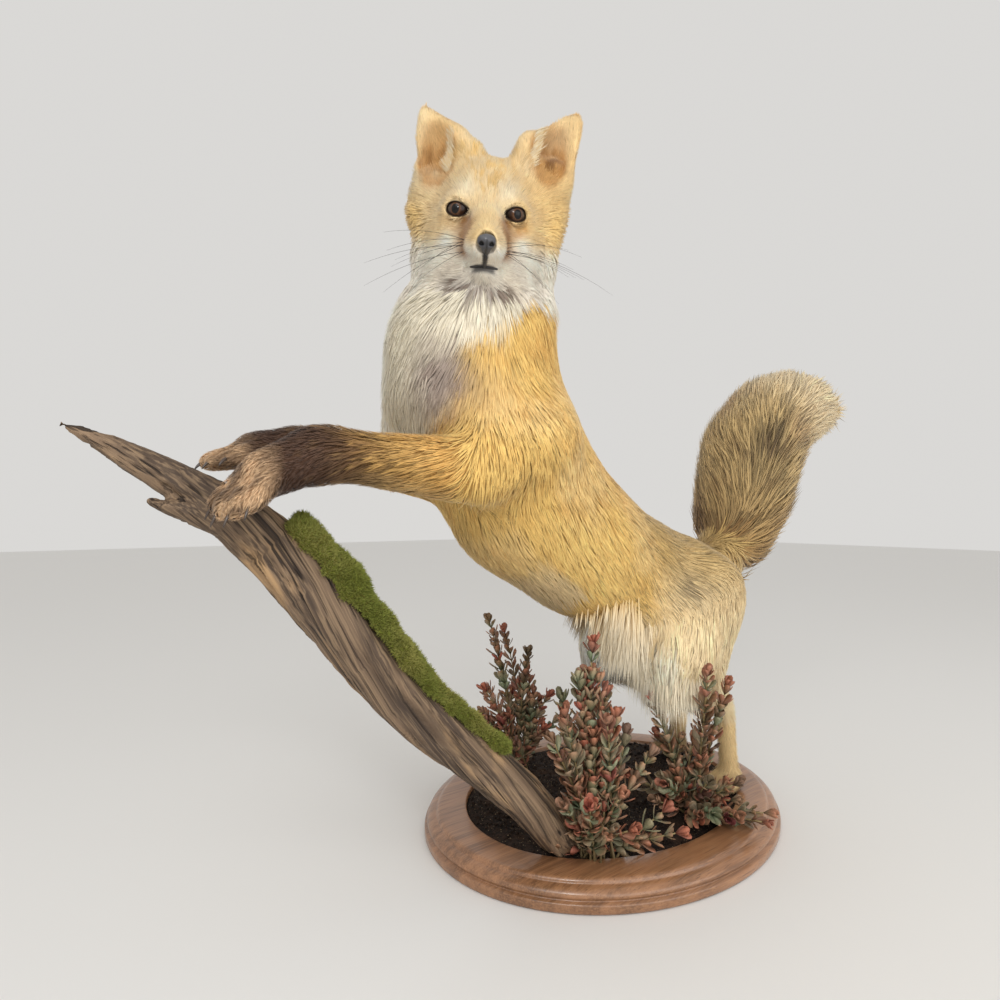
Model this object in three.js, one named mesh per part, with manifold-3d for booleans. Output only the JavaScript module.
// A life-size mounted red fox. It stands on its hind feet on an oval habitat base, with both
// forepaws on a leaning piece of driftwood, its head turned to its left and its tail raised.
//
// Millimetres, +Z up. The origin is the centre of the base's underside. The fox faces -X and its
// left side is towards -Y. The fox is one smooth form, drawn as a distance field out to the tips
// of its coat, and it is parted into named pieces by thin flat cuts.

import * as THREE from "three";
import { SimplifyModifier } from "three/addons/modifiers/SimplifyModifier.js";
import { mergeVertices } from "three/addons/utils/BufferGeometryUtils.js";
import Module from "manifold-3d";

const wasm = await Module();
wasm.setup();

// ---------------------------------------------------------------- driving dimensions

const gap = 0.5; // clearance between neighbouring solids

const base = {
  halfLength: 195,
  halfWidth: 160,
  height: 21,
  sides: 30,
  mouldingWidth: 18, // from the foot of the moulding in to the flat rim
  rimWidth: 23,
  recessDepth: 8,
  soilDrop: 3, // how far the soil lies below the rim
};
const soilTop = base.height - base.soilDrop;

// Where the fox's own origin lies on the base. All that stands on the base is set out from it.
const stance = { x: 9, y: -27 };

const head = {
  eyes: [-210, -46, 537], // the point between the eyes, from the fox's own origin
  turn: 57, // to the fox's left
  nod: 24,
  tilt: 3.5,
  eyeSpacing: 43,
  eyeRadius: 8.5,
  eyeDepth: 1, // from the point between the eyes back to their centres
};

const branchSides = 10;
const toeCount = 4;

// ---------------------------------------------------------------- small helpers

const v = (x, y, z) => new THREE.Vector3(x, y, z);
const { degToRad, lerp, clamp } = THREE.MathUtils;
const onFox = (x, y, z) => v(stance.x + x, stance.y + y, z);

// Blend of two distances, rounded over a width of k.
function blend(a, b, k) {
  const h = clamp(0.5 + (0.5 * (b - a)) / k, 0, 1);
  return lerp(b, a, h) - k * h * (1 - h);
}

// Distance to a limb: a line from a to b, round, with a radius that changes evenly.
function limb(a, b, radiusA, radiusB) {
  const along = b.clone().sub(a);
  const lengthSq = along.lengthSq();
  return (p) => {
    const t = clamp(p.clone().sub(a).dot(along) / lengthSq, 0, 1);
    return p.distanceTo(a.clone().addScaledVector(along, t)) - lerp(radiusA, radiusB, t);
  };
}

// Distance, near enough, to an ellipsoid.
function egg(centre, radii) {
  const smallest = Math.min(radii.x, radii.y, radii.z);
  return (p) => {
    const q = p.clone().sub(centre).divide(radii);
    const k = q.length();
    const slope = q.clone().divide(radii).length();
    return slope < 1e-6 ? -smallest : (k * (k - 1)) / slope;
  };
}

// The limbs of a chain through [point, radius] stations.
function chain(stations) {
  return stations.slice(1).map(([point, radius], i) => {
    const [lastPoint, lastRadius] = stations[i];
    return limb(lastPoint, point, lastRadius, radius);
  });
}

// One field from many, blended with the same softness.
function together(parts, softness) {
  return (p) => parts.reduce((d, part) => blend(d, part(p), softness), 1e3);
}

// A turned frame with its x axis along a direction and its y axis level.
function frameAlong(at, along) {
  const x = along.clone().normalize();
  const level = Math.abs(x.z) > 0.99 ? v(0, 1, 0) : v(0, 0, 1).cross(x);
  const z = x.clone().cross(level.normalize()).normalize();
  return new THREE.Matrix4().makeBasis(x, z.clone().cross(x), z).setPosition(at);
}

// The closed surface of a field inside a box of cells in a turned frame, by surface nets: one
// point in each cell that the surface crosses, and one quad across each cell edge that it crosses.
function surfaceOf(field, { frame, low, high, cell }) {
  const size = [0, 1, 2].map((axis) => Math.ceil((high[axis] - low[axis]) / cell[axis]) + 1);
  const place = (c) => v(...c.map((n, axis) => low[axis] + n * cell[axis])).applyMatrix4(frame);
  const step = [1, size[0], size[0] * size[1]];
  const at = ([i, j, k]) => i * step[0] + j * step[1] + k * step[2];
  const everyCell = (from, shorten, visit) => {
    for (let k = from; k < size[2] - shorten; k++)
      for (let j = from; j < size[1] - shorten; j++)
        for (let i = from; i < size[0] - shorten; i++) visit([i, j, k]);
  };

  const values = new Float32Array(size[0] * size[1] * size[2]);
  everyCell(0, 0, (c) => {
    const atWall = c.some((n, axis) => n === 0 || n === size[axis] - 1);
    values[at(c)] = atWall ? cell[0] : field(place(c)) || 1e-4;
  });
  const crosses = (here, axis) => values[here] < 0 !== values[here + step[axis]] < 0;

  // Where the inside touches itself across a cell face, one corner is filled to join it.
  let filled = true;
  while (filled) {
    filled = false;
    everyCell(1, 2, (c) => {
      for (let axis = 0; axis < 3; axis++) {
        const [u, w] = [step[(axis + 1) % 3], step[(axis + 2) % 3]];
        const here = at(c);
        const [a, b, d, e] = [here, here + u, here + u + w, here + w].map((n) => values[n] < 0);
        if (a !== d || b !== e || a === b) continue;
        values[a ? here + u : here] = -0.05 * cell[0];
        filled = true;
      }
    });
  }

  const points = [];
  const pointOf = new Map();
  everyCell(0, 1, (c) => {
    const crossings = [];
    for (let axis = 0; axis < 3; axis++) {
      for (const [du, dw] of [[0, 0], [1, 0], [0, 1], [1, 1]]) {
        const corner = [...c];
        corner[(axis + 1) % 3] += du;
        corner[(axis + 2) % 3] += dw;
        const here = at(corner);
        if (!crosses(here, axis)) continue;
        corner[axis] += values[here] / (values[here] - values[here + step[axis]]);
        crossings.push(corner);
      }
    }
    if (!crossings.length) return;
    const mean = [0, 1, 2].map((n) => crossings.reduce((s, q) => s + q[n], 0) / crossings.length);
    pointOf.set(at(c), points.length);
    points.push(place(mean));
  });

  const triangles = [];
  everyCell(0, 1, (c) => {
    for (let axis = 0; axis < 3; axis++) {
      const here = at(c);
      const inner = c[(axis + 1) % 3] > 0 && c[(axis + 2) % 3] > 0;
      if (!inner || !crosses(here, axis)) continue;
      const [u, w] = [step[(axis + 1) % 3], step[(axis + 2) % 3]];
      const quad = [here - u - w, here - w, here, here - u].map((n) => pointOf.get(n));
      if (values[here] > 0) quad.reverse();
      const [p, q, r, s] = quad.map((n) => points[n]);
      if (p.distanceTo(r) > q.distanceTo(s)) quad.push(quad.shift());
      triangles.push(quad[0], quad[1], quad[2], quad[0], quad[2], quad[3]);
    }
  });
  return new THREE.BufferGeometry().setFromPoints(points).setIndex(triangles);
}

// The same surface with only a share of its points, kept where it curves most.
const thinner = new SimplifyModifier();
async function thinned(geometry, share) {
  const spare = Math.round(geometry.attributes.position.count * (1 - share));
  return thinner.modify(geometry, spare);
}

// A closed skin over rings of points, each ring counter-clockwise about the direction of travel.
function loft(rings) {
  const count = rings[0].length;
  const middles = [rings[0], rings[rings.length - 1]].map((ring) =>
    ring.reduce((sum, p) => sum.add(p), v(0, 0, 0)).divideScalar(count),
  );
  const points = [...rings.flat(), ...middles];
  const last = (rings.length - 1) * count;
  const triangles = [];
  for (let i = 0; i < count; i++) {
    const next = (i + 1) % count;
    for (let r = 0; r < last; r += count) {
      triangles.push(r + i, r + next, r + next + count, r + i, r + next + count, r + i + count);
    }
    triangles.push(last + count, next, i, last + count + 1, last + i, last + next);
  }
  return new THREE.BufferGeometry().setFromPoints(points).setIndex(triangles);
}

// A tube along a curve, whose outline at each place is radiusAt(t, angle).
function tube(curve, steps, sides, radiusAt) {
  const rings = [];
  for (let n = 0; n <= steps; n++) {
    const t = n / steps;
    const frame = frameAlong(curve.getPoint(t), curve.getTangent(t));
    const ring = [];
    for (let i = 0; i < sides; i++) {
      const angle = (i / sides) * 2 * Math.PI;
      const r = radiusAt(t, angle);
      ring.push(v(0, r * Math.cos(angle), r * Math.sin(angle)).applyMatrix4(frame));
    }
    rings.push(ring);
  }
  return loft(rings);
}

// Geometry to a solid that can be joined and cut, and back.
function solidOf(geometry) {
  const bare = geometry.clone();
  bare.deleteAttribute("normal");
  bare.deleteAttribute("uv");
  const merged = mergeVertices(bare, 1e-3);
  return new wasm.Manifold(
    new wasm.Mesh({
      numProp: 3,
      vertProperties: new Float32Array(merged.attributes.position.array),
      triVerts: new Uint32Array(merged.index.array),
    }),
  );
}
function geometryOf(solid) {
  const mesh = solid.getMesh();
  const geometry = new THREE.BufferGeometry();
  geometry.setAttribute("position", new THREE.BufferAttribute(mesh.vertProperties, 3));
  return geometry.setIndex(new THREE.BufferAttribute(mesh.triVerts, 1));
}

// All that lies on the side of each plane that its normal points to. Each plane is a
// [point, normal], and the whole is grown past its planes by a distance.
const reach = 1600; // longer than the whole model
function within(planes, grow) {
  const halves = planes.map(([point, normal]) => {
    const block = new THREE.BoxGeometry(reach, reach, reach);
    block.translate(reach / 2 - grow, 0, 0);
    return solidOf(block.applyMatrix4(frameAlong(point, normal)));
  });
  return halves.reduce((all, half) => all.intersect(half));
}

// ---------------------------------------------------------------- the head's own frame

// Its x axis points back, its y axis to the fox's right and its z axis up.
const headFrame = new THREE.Matrix4()
  .makeTranslation(onFox(...head.eyes))
  .multiply(new THREE.Matrix4().makeRotationZ(degToRad(head.turn)))
  .multiply(new THREE.Matrix4().makeRotationY(degToRad(-head.nod)))
  .multiply(new THREE.Matrix4().makeRotationX(degToRad(head.tilt)));
const intoHead = headFrame.clone().invert();
const onHead = (x, y, z) => v(x, y, z).applyMatrix4(headFrame);
const headWay = (x, y, z) => v(x, y, z).transformDirection(headFrame);

// Each ear has a root, leans outwards and rises from a temple. Side is -1 for the left ear.
const ears = [
  { name: "ear_left", side: -1, root: v(44, -44, 31), lean: 10, outer: 24, tipUp: 54, temple: 25 },
  { name: "ear_right", side: 1, root: v(45, 40, 22), lean: 0, outer: 19, tipUp: 56, temple: 20 },
];
const earShape = { tipAcross: 18, inner: -28, slope: 25, thickness: 9 };

// An ear is a leaf with an upright outer edge and a sloping inner one, hollow in front.
function earField({ side, root, lean, outer, tipUp }) {
  const leaning = degToRad(lean);
  const up = v(0.14, side * Math.sin(leaning), Math.cos(leaning)).normalize();
  const front = v(-0.95, side * 0.2, 0.13);
  front.addScaledVector(up, -front.dot(up)).normalize();
  const across = front.clone().cross(up).multiplyScalar(side);
  const slope = degToRad(earShape.slope);
  const cup = egg(v(4, 20, 7), v(14.5, 23, 11));
  return (p) => {
    const q = p.clone().sub(root);
    const [w, h, d] = [q.dot(across), q.dot(up), q.dot(front)];
    const fromTip = Math.cos(slope) * (h - tipUp) - Math.sin(slope) * (w - earShape.tipAcross);
    const edges = [w - outer, earShape.inner - w, -14 - h, fromTip];
    const outline = -edges.reduce((a, b) => blend(a, -b, 9), 1e3);
    const taper = earShape.thickness * clamp(1.25 - h / 75, 0.4, 1.2);
    const shell = -blend(-outline, taper - Math.abs(d + 2 - (w * w) / 160), 6);
    return Math.max(shell, -cup(v(w, h, d)));
  };
}

// ---------------------------------------------------------------- the fox's form

const bothSides = (make) => [make(1), make(-1)];
const headForm = together(
  [
    egg(v(42, 0, 4), v(46, 40, 38)), // cranium
    egg(v(16, 0, 6), v(27, 29, 20)), // brow
    limb(v(2, 0, -7), v(-58, 0, -19), 18, 10), // bridge of the muzzle
    ...bothSides((s) => egg(v(-44, 8 * s, -25), v(18, 11, 10))), // whisker pads
    limb(v(24, 0, -34), v(-47, 0, -34), 20, 7), // jaw
    ...bothSides((s) => limb(v(20, 26 * s, -14), v(42, 42 * s, -2), 17, 23)), // cheek
    ...ears.map(({ side, root, temple }) =>
      limb(v(42, 42 * side, -4), root.clone().add(v(2, side * 5, -6)), temple, temple - 4),
    ),
    ...bothSides((s) => egg(v(36, 30 * s, -36), v(32, 30, 24))), // ruff under the cheek
  ],
  8,
);
const earFields = ears.map(earField);
const eyeCentres = [-1, 1].map((s) => v(head.eyeDepth, (s * head.eyeSpacing) / 2, -1));
function headField(p) {
  const q = p.clone().applyMatrix4(intoHead);
  return earFields.reduce((d, ear) => blend(d, ear(q), 5), headForm(q));
}

// The trunk and neck, from the rump to the nape. The trunk is narrower than it is deep.
const narrowing = 1.14;
const spine = together(
  chain([
    [v(116, 0, 222), 42],
    [v(74, 0, 230), 54],
    [v(4, 0, 247), 58],
    [v(-68, 0, 276), 66],
    [v(-134, 0, 322), 73],
    [v(-180, 0, 392), 71],
    [v(-191, -6, 458), 64],
    [v(-184, -14, 512), 57],
  ]),
  12,
);
function trunkField(p) {
  const [x, y] = [p.x - stance.x, p.y - stance.y];
  return spine(v(x, y * narrowing, p.z)) / (narrowing * 0.95);
}

const tail = [
  [onFox(140, 0, 250), 30],
  [onFox(184, 0, 286), 42],
  [onFox(206, 0, 338), 51],
  [onFox(224, 0, 390), 53],
  [onFox(268, 0, 431), 50],
  [onFox(326, 0, 449), 44],
  [onFox(366, 0, 450), 32],
];
const tailField = together(chain(tail), 12);

// Joints of the legs.
const forelegs = [
  {
    name: "left",
    side: -1,
    shoulder: onFox(-164, -48, 368),
    elbow: onFox(-228, -56, 338),
    wrist: onFox(-332, -34, 348),
    knuckle: onFox(-370, -39, 332),
    toes: onFox(-394, -48, 308),
  },
  {
    name: "right",
    side: 1,
    shoulder: onFox(-164, 48, 368),
    elbow: onFox(-226, 52, 350),
    wrist: onFox(-322, 30, 355),
    knuckle: onFox(-360, 23, 351),
    toes: onFox(-391, 17, 342),
  },
];
const hindLegs = [
  {
    name: "left",
    side: -1,
    hip: onFox(64, -36, 226),
    knee: onFox(8, -52, 168),
    hock: onFox(101, -42, 104),
    ball: onFox(103, -48, soilTop + 12),
    toes: onFox(72, -52, soilTop + 10),
  },
  {
    name: "right",
    side: 1,
    hip: onFox(64, 36, 226),
    knee: onFox(26, 50, 162),
    hock: onFox(138, 42, 100),
    ball: onFox(134, 44, soilTop + 12),
    toes: onFox(103, 45, soilTop + 10),
  },
];

// Toes in a fan ahead of a paw, as [root, end] pairs. The middle ones reach further.
function toeLines(knuckle, tip, spread) {
  const ahead = tip.clone().sub(knuckle);
  const out = ahead.clone().cross(v(0, 0, 1)).normalize();
  return Array.from({ length: toeCount }, (_, i) => {
    const place = i / (toeCount - 1) - 0.5;
    const root = knuckle.clone().addScaledVector(out, place * spread * 0.7);
    const end = knuckle.clone().addScaledVector(out, place * spread);
    return [root, end.addScaledVector(ahead, 1.05 - 0.5 * Math.abs(place))];
  });
}
const clawSize = { length: 12, radius: 2.4, drop: 0.55 };
function clawsOn(lines) {
  return lines.map(([root, end]) => {
    const way = end.clone().sub(root).normalize().add(v(0, 0, -clawSize.drop));
    const cone = new THREE.ConeGeometry(clawSize.radius, clawSize.length, 5);
    cone.rotateZ(-Math.PI / 2).translate(clawSize.length / 2, 0, 0);
    return solidOf(cone.applyMatrix4(frameAlong(end, way)));
  });
}

for (const leg of forelegs) {
  leg.lines = toeLines(leg.knuckle, leg.toes, 36);
  const arm = together(
    [
      limb(leg.shoulder, leg.elbow, 40, 26),
      limb(leg.elbow, leg.wrist, 25, 18),
      limb(leg.wrist, leg.knuckle, 18, 16),
    ],
    12,
  );
  const paw = together(leg.lines.map(([root, end]) => limb(root, end, 9, 7.6)), 2);
  leg.field = (p) => blend(arm(p), paw(p), 5);
}
for (const leg of hindLegs) {
  leg.lines = toeLines(leg.ball, leg.toes, 27);
  const haunch = leg.hip.clone().add(v(11, 0, -16));
  const calf = leg.knee.clone().lerp(leg.hock, 0.4);
  const limbs = together(
    [
      limb(leg.hip, leg.knee, 49, 33),
      limb(haunch, calf, 38, 25),
      limb(leg.knee, leg.hock, 30, 12),
      limb(leg.hock, leg.ball, 11.5, 10.5),
    ],
    11,
  );
  const foot = together(leg.lines.map(([root, end]) => limb(root, end, 8.6, 7.4)), 2);
  leg.field = (p) => blend(limbs(p), foot(p), 4);
}

function foxField(p) {
  let d = blend(trunkField(p), headField(p), 15);
  d = blend(d, tailField(p), 12);
  for (const leg of forelegs) d = blend(d, leg.field(p), 14);
  for (const leg of hindLegs) d = blend(d, leg.field(p), 18);
  return d;
}

// ---------------------------------------------------------------- the mount

// Ring of points of an ellipse, counter-clockwise from above.
function oval(inset, height) {
  return Array.from({ length: base.sides }, (_, i) => {
    const angle = (i / base.sides) * 2 * Math.PI;
    const [a, b] = [base.halfLength - inset, base.halfWidth - inset];
    return v(a * Math.cos(angle), b * Math.sin(angle), height);
  });
}
const bedInset = base.mouldingWidth + base.rimWidth;
function makeBase() {
  const { height: top, mouldingWidth: step } = base;
  const floor = top - base.recessDepth;
  const profile = [
    [1.5, 0],
    [0, 1.5],
    [0, top * 0.36],
    [step * 0.22, top * 0.46], // groove over the lower bead
    [step * 0.3, top * 0.72],
    [step * 0.62, top * 0.84], // groove over the upper bead
    [step * 0.72, top - 1],
    [step, top],
    [bedInset, top],
    [bedInset + 1, floor],
  ];
  return loft(profile.map(([inset, height]) => oval(inset, height)));
}
function makeSoil() {
  const floor = base.height - base.recessDepth + gap;
  const crown = [
    [bedInset + 1 + gap, floor],
    [bedInset + 1, soilTop - 1.5],
    [bedInset + 8, soilTop],
  ];
  return loft(crown.map(([inset, height]) => oval(inset, height)));
}

// The room that the soil and the rim take up, with a little clearance above and beside them.
const below = (z) => [v(0, 0, z), v(0, 0, -1)];
const overBed = loft([-base.height, 2 * base.height].map((z) => oval(bedInset + 1 + gap, z)));
const groundRoom = within([below(base.height + gap)], 0)
  .subtract(solidOf(overBed))
  .add(within([below(soilTop + gap)], 0));

// The driftwood, from its foot in the soil to its point, as [x, y, z, half across, half deep].
// It is deep in its own upright plane and thinner across it. It is set out from the fox's origin.
const driftwood = [
  [-112, -33, soilTop, 14, 14],
  [-126, -33, 33, 19, 18],
  [-156, -31, 68, 19, 19],
  [-199, -27, 108, 18, 19],
  [-236, -23, 140, 17, 19],
  [-268, -19, 172, 17, 19],
  [-293, -15, 204, 18, 21],
  [-313, -11, 232, 19, 23],
  [-332, -7, 258, 20, 25],
  [-357, -2, 287, 19, 22],
  [-385, 2, 311, 16, 17],
  [-411, 5, 328, 12, 13],
  [-449, 5, 349, 6, 6.5],
  [-474, 5, 361, 1.6, 2],
];
const woodCurve = new THREE.CatmullRomCurve3(driftwood.map(([x, y, z]) => onFox(x, y, z)));
function woodRadius(t, angle, grow) {
  const place = t * (driftwood.length - 1);
  const n = Math.min(Math.floor(place), driftwood.length - 2);
  const [across, deep] = [3, 4].map((k) => lerp(driftwood[n][k], driftwood[n + 1][k], place - n));
  const round = 1 / Math.hypot(Math.cos(angle) / across, Math.sin(angle) / deep);
  const twist = angle + 2.2 * t;
  const ridges = 1 + 0.09 * Math.sin(3 * twist + 9 * t) + 0.06 * Math.sin(5 * twist - 14 * t);
  return round * ridges + grow;
}
function makeWood(grow) {
  const trunk = tube(woodCurve, 18, branchSides, (t, angle) => woodRadius(t, angle, grow));
  const stubCurve = new THREE.LineCurve3(onFox(-378, -2, 297), onFox(-430, -4, 316));
  const stubRadius = (t, angle) => lerp(11, 3.5, t) * (1 + 0.2 * Math.cos(2 * angle)) + grow;
  return solidOf(trunk).add(solidOf(tube(stubCurve, 4, 8, stubRadius)));
}

// Moss lies in lumps along the wood's upper side, a little behind it.
const moss = { from: 0.23, to: 0.73, lumps: 8, size: 10, topSize: 17, off: 18, behind: 6 };
const mossLumps = Array.from({ length: moss.lumps }, (_, i) => {
  const t = lerp(moss.from, moss.to, i / (moss.lumps - 1));
  const way = frameAlong(woodCurve.getPoint(t), woodCurve.getTangent(t));
  const size = lerp(moss.size, moss.topSize, i / (moss.lumps - 1)) + 1.5 * Math.sin(2.6 * i + 1);
  return [v(0, moss.behind, moss.off).applyMatrix4(way), size];
});
const mossField = together(chain(mossLumps), 6);

// ---------------------------------------------------------------- plants

// Sprays of stems, each with whorls of leaves, rooted in the soil. Each stem leans out in a
// direction, given in degrees from +X, by a distance, and has a height.
const plants = [
  {
    name: "plant_front_middle",
    root: onFox(-107, -57, soilTop - 2),
    stems: [[-120, 6, 180], [188, 46, 107], [-9, 52, 80], [-167, 36, 52], [-72, 28, 58]],
  },
  {
    name: "plant_front_right",
    root: onFox(28, -59, soilTop - 2),
    stems: [[-139, 53, 147], [-165, 58, 46], [-129, 56, 26], [-76, 38, 38]],
  },
  {
    name: "plant_back_left",
    root: onFox(-46, 128, soilTop - 2),
    stems: [[144, 28, 168], [-36, 8, 130], [-30, 36, 80], [170, 40, 92]],
  },
];
function stemCurve(root, [facing, out, tall]) {
  const angle = degToRad(facing);
  const way = v(Math.cos(angle), Math.sin(angle), 0);
  const middle = root.clone().addScaledVector(way, out * 0.6).add(v(0, 0, tall * 0.5));
  const top = root.clone().addScaledVector(way, out).add(v(0, 0, tall));
  return new THREE.CatmullRomCurve3([root, middle, top]);
}

// A stem swells into a star of leaves at each whorl, and the stars are smaller towards its top.
const whorl = { leaves: 3, reach: 18, topReach: 10, waist: 6, stem: 2.2, spacing: 36 };
function makeStem(curve) {
  const whorls = Math.round(curve.getLength() / whorl.spacing);
  const steps = whorls * 2 + 1;
  return tube(curve, steps, whorl.leaves * 2, (t, angle) => {
    const n = Math.round(t * steps);
    if (n < 3 || n % 2 === 0) return whorl.stem;
    const leafTip = lerp(whorl.reach, whorl.topReach, t);
    return Math.cos(whorl.leaves * angle) > 0 ? leafTip : whorl.waist;
  });
}
function makePlant({ root, stems }) {
  const solids = stems.map((stem) => solidOf(makeStem(stemCurve(root, stem))));
  return solids.reduce((all, one) => all.add(one)).subtract(groundRoom);
}

// ---------------------------------------------------------------- parting the fox

const box = (frame, low, high, cell) => ({ frame, low, high, cell });
const midPlane = (side, offset) => [onFox(0, side * offset, 0), v(0, side, 0)];
const frontHalf = [onFox(-20, 0, 0), v(-1, 0, 0)];

// Each piece takes what lies within its planes and isn't taken by a piece before it.
const parting = [];

for (const ear of ears) {
  const at = onHead(46, ear.side * 38, 37);
  const way = headWay(0.12, ear.side * 0.42, 0.86);
  parting.push({
    name: ear.name,
    planes: [[at, way], [onHead(0, ear.side * 6, 0), headWay(0, ear.side, 0)], frontHalf],
    grid: box(
      frameAlong(at, way),
      [-10, -36, -40],
      [62, 36, 40],
      [5, 5, 4.6],
    ),
    share: 0.3,
  });
}
const headCut = [onHead(20, 0, -58), headWay(0.1, 0, 1)];
parting.push({
  name: "head",
  planes: [headCut, frontHalf],
  grid: box(frameAlong(...headCut), [-16, -100, -100], [130, 100, 100], [6.4, 6.4, 6.4]),
  share: 0.3,
});
const neckCut = [onFox(-186, 0, 408), v(-0.08, 0, 1)];
parting.push({
  name: "neck",
  planes: [neckCut, frontHalf],
  grid: box(frameAlong(...neckCut), [-24, -100, -110], [140, 100, 120], [15, 12, 12]),
  share: 0.27,
});

const tailCuts = {
  tail_tip: [onFox(272, 0, 433), v(0.88, 0, 0.48)],
  tail_middle: [onFox(210, 0, 350), v(0.3, 0, 0.95)],
  tail_base: [onFox(158, 0, 258), v(0.74, 0, 0.67)],
};
for (const [name, cut] of Object.entries(tailCuts)) {
  parting.push({
    name,
    planes: [cut, [onFox(60, 0, 0), v(1, 0, 0)]],
    grid: box(frameAlong(...cut), [-26, -80, -96], [180, 80, 96], [17, 13, 13]),
    share: 0.27,
  });
}

for (const leg of forelegs) {
  const way = leg.wrist.clone().sub(leg.elbow);
  const pawCut = leg.wrist.clone().addScaledVector(way, 0.04);
  const pawWay = leg.knuckle.clone().sub(leg.wrist);
  parting.push({
    name: `forepaw_${leg.name}`,
    planes: [[pawCut, pawWay], midPlane(leg.side, -9 * leg.side)],
    grid: box(frameAlong(pawCut, pawWay), [-18, -48, -60], [96, 48, 44], [6.4, 4.6, 5.6]),
    share: 0.3,
    claws: clawsOn(leg.lines),
    cutByWood: true,
  });
  const legCut = leg.elbow.clone().addScaledVector(way, 0.12);
  parting.push({
    name: `foreleg_${leg.name}`,
    planes: [[legCut, way], midPlane(leg.side, 0), below(372)],
    grid: box(frameAlong(legCut, way), [-24, -64, -64], [130, 64, 64], [12, 9, 9]),
    share: 0.26,
    cutByWood: true,
  });
}
for (const leg of hindLegs) {
  const footTop = leg.hock.z - 14;
  parting.push({
    name: `hind_foot_${leg.name}`,
    planes: [below(footTop), midPlane(leg.side, 0)],
    grid: box(
      frameAlong(v(leg.ball.x, leg.ball.y, 0), v(0, 0, 1)),
      [soilTop - 14, -38, -72],
      [footTop + 18, 38, 42],
      [7, 5.4, 6.4],
    ),
    share: 0.3,
    claws: clawsOn(leg.lines),
    cutBySoil: true,
  });
  const way = leg.hock.clone().sub(leg.knee);
  const shankCut = leg.knee.clone().addScaledVector(way, 0.36);
  parting.push({
    name: `shank_${leg.name}`,
    planes: [[shankCut, way], midPlane(leg.side, 0), below(162)],
    grid: box(frameAlong(shankCut, way), [-22, -52, -58], [110, 52, 58], [11, 8.5, 8.5]),
    share: 0.26,
  });
  const thighCut = [onFox(40, 0, 240), v(0.42, 0, -0.9)];
  parting.push({
    name: `thigh_${leg.name}`,
    planes: [thighCut, midPlane(leg.side, 12), below(275)],
    grid: box(
      frameAlong(onFox(40, 0, 200), v(1, 0, 0)),
      [-130, -120, -110],
      [150, 120, 96],
      [12, 12, 12],
    ),
    share: 0.26,
  });
}
const trunkWay = v(-0.86, 0, 0.5);
parting.push({
  name: "trunk",
  planes: [[onFox(500, 0, 0), v(-1, 0, 0)]],
  grid: box(
    frameAlong(onFox(-20, 0, 280), trunkWay),
    [-200, -104, -140],
    [280, 104, 156],
    [16, 13, 13],
  ),
  share: 0.26,
});

// ---------------------------------------------------------------- assembly

const finish = {
  fur: { color: 0xd8a35c, roughness: 0.9 },
  paleFur: { color: 0xe9dcc2, roughness: 0.9 },
  darkFur: { color: 0x4a3c33, roughness: 0.9 },
  tailFur: { color: 0xb09a78, roughness: 0.9 },
  noseSkin: { color: 0x24211f, roughness: 0.4 },
  glassEye: { color: 0x2a1810, roughness: 0.05 },
  walnut: { color: 0x6b4a38, roughness: 0.3 },
  soil: { color: 0x1d1712, roughness: 1 },
  wood: { color: 0x75665a, roughness: 0.85 },
  moss: { color: 0x5d7a24, roughness: 1 },
  leaf: { color: 0x5f5a44, roughness: 0.6 },
};
const finishOf = (name) => {
  if (name.startsWith("tail")) return finish.tailFur;
  if (name.startsWith("forepaw")) return finish.darkFur;
  return name === "neck" ? finish.paleFur : finish.fur;
};

const fox = new THREE.Group();
function place(name, geometry, look) {
  const material = new THREE.MeshStandardMaterial({ metalness: 0, ...look });
  const mesh = new THREE.Mesh(geometry, material);
  mesh.name = name;
  fox.add(mesh);
}

place("base", makeBase(), finish.walnut);
place("soil", makeSoil(), finish.soil);

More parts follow.
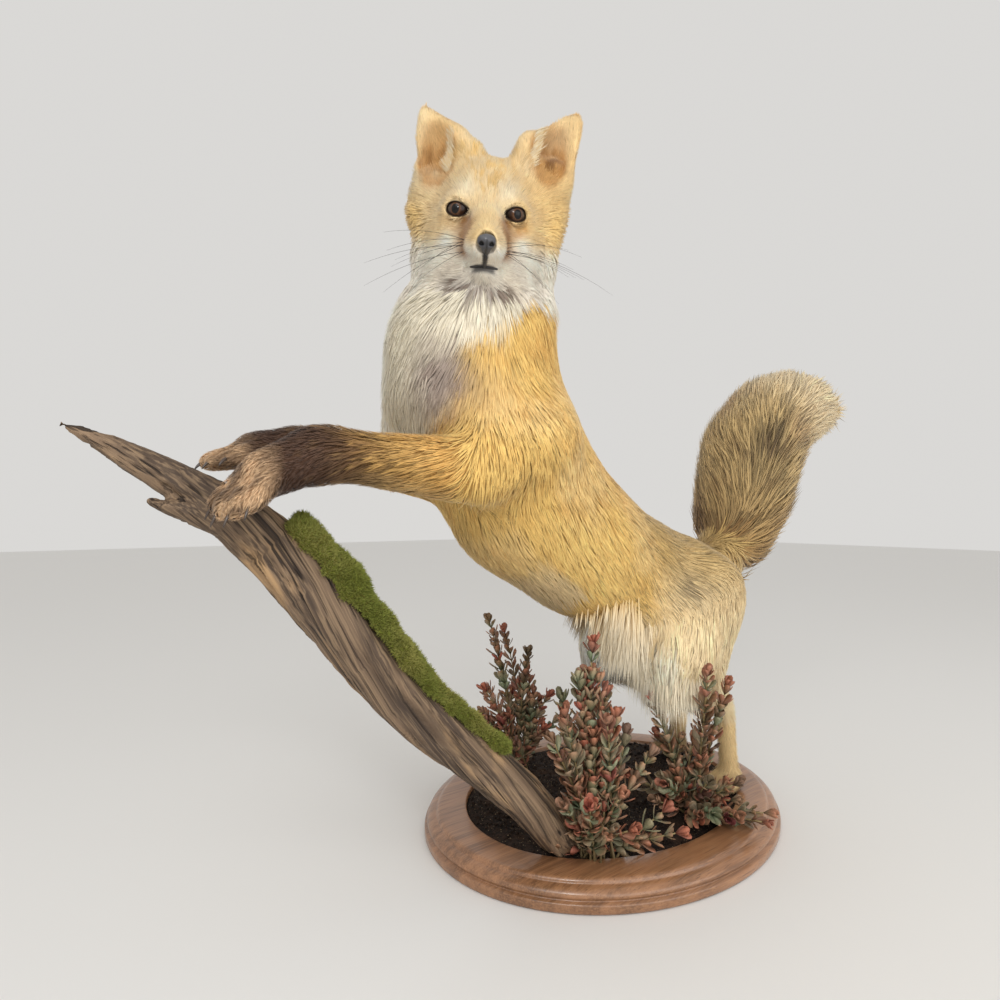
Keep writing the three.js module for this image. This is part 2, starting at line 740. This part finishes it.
const wood = makeWood(0);
const woodRoom = makeWood(gap * 2);
place("branch", geometryOf(wood.subtract(groundRoom)), finish.wood);

const mossGrid = box(
  frameAlong(onFox(-232, 0, 160), v(-0.65, 0.1, 0.76)),
  [-190, -60, -50],
  [190, 60, 76],
  [10, 8, 8],
);
const mossSkin = await thinned(surfaceOf(mossField, mossGrid), 0.25);
const mossSolid = solidOf(mossSkin).subtract(woodRoom).subtract(groundRoom);
place("moss", geometryOf(mossSolid), finish.moss);
for (const plant of plants) place(plant.name, geometryOf(makePlant(plant)), finish.leaf);

// The eyes and nose fill sockets of their own in the head.
function eyeBall(centre, radius) {
  const ball = new THREE.SphereGeometry(radius, 10, 6).translate(centre.x, centre.y, centre.z);
  return ball.applyMatrix4(headFrame);
}
const nosePad = together(
  [egg(v(-63, 0, -21), v(6, 7.5, 6)), limb(v(-63, 0, -24), v(-60, 0, -31), 3.4, 2.2)],
  2,
);
const noseSurface = (grow) =>
  surfaceOf(
    (p) => nosePad(p.clone().applyMatrix4(intoHead)) - grow,
    box(headFrame, [-77, -13, -39], [-48, 13, -5], [4, 3.8, 4]),
  );
const sockets = eyeCentres.map((c) => solidOf(eyeBall(c, head.eyeRadius + gap)));
sockets.push(solidOf(noseSurface(gap * 2)));
place("eye_left", eyeBall(eyeCentres[0], head.eyeRadius), finish.glassEye);
place("eye_right", eyeBall(eyeCentres[1], head.eyeRadius), finish.glassEye);
place("nose", noseSurface(0), finish.noseSkin);

let taken = null;
for (const { name, planes, grid, share, claws = [], cutByWood, cutBySoil } of parting) {
  let solid = solidOf(await thinned(surfaceOf(foxField, grid), share));
  for (const claw of claws) solid = solid.add(claw);
  solid = solid.intersect(within(planes, 0));
  if (taken) solid = solid.subtract(taken);
  if (cutByWood) solid = solid.subtract(woodRoom);
  if (cutBySoil) solid = solid.subtract(groundRoom);
  if (name === "head") for (const socket of sockets) solid = solid.subtract(socket);
  place(name, geometryOf(solid), finishOf(name));
  const room = within(planes, gap);
  taken = taken ? taken.add(room) : room;
}

export default fox;
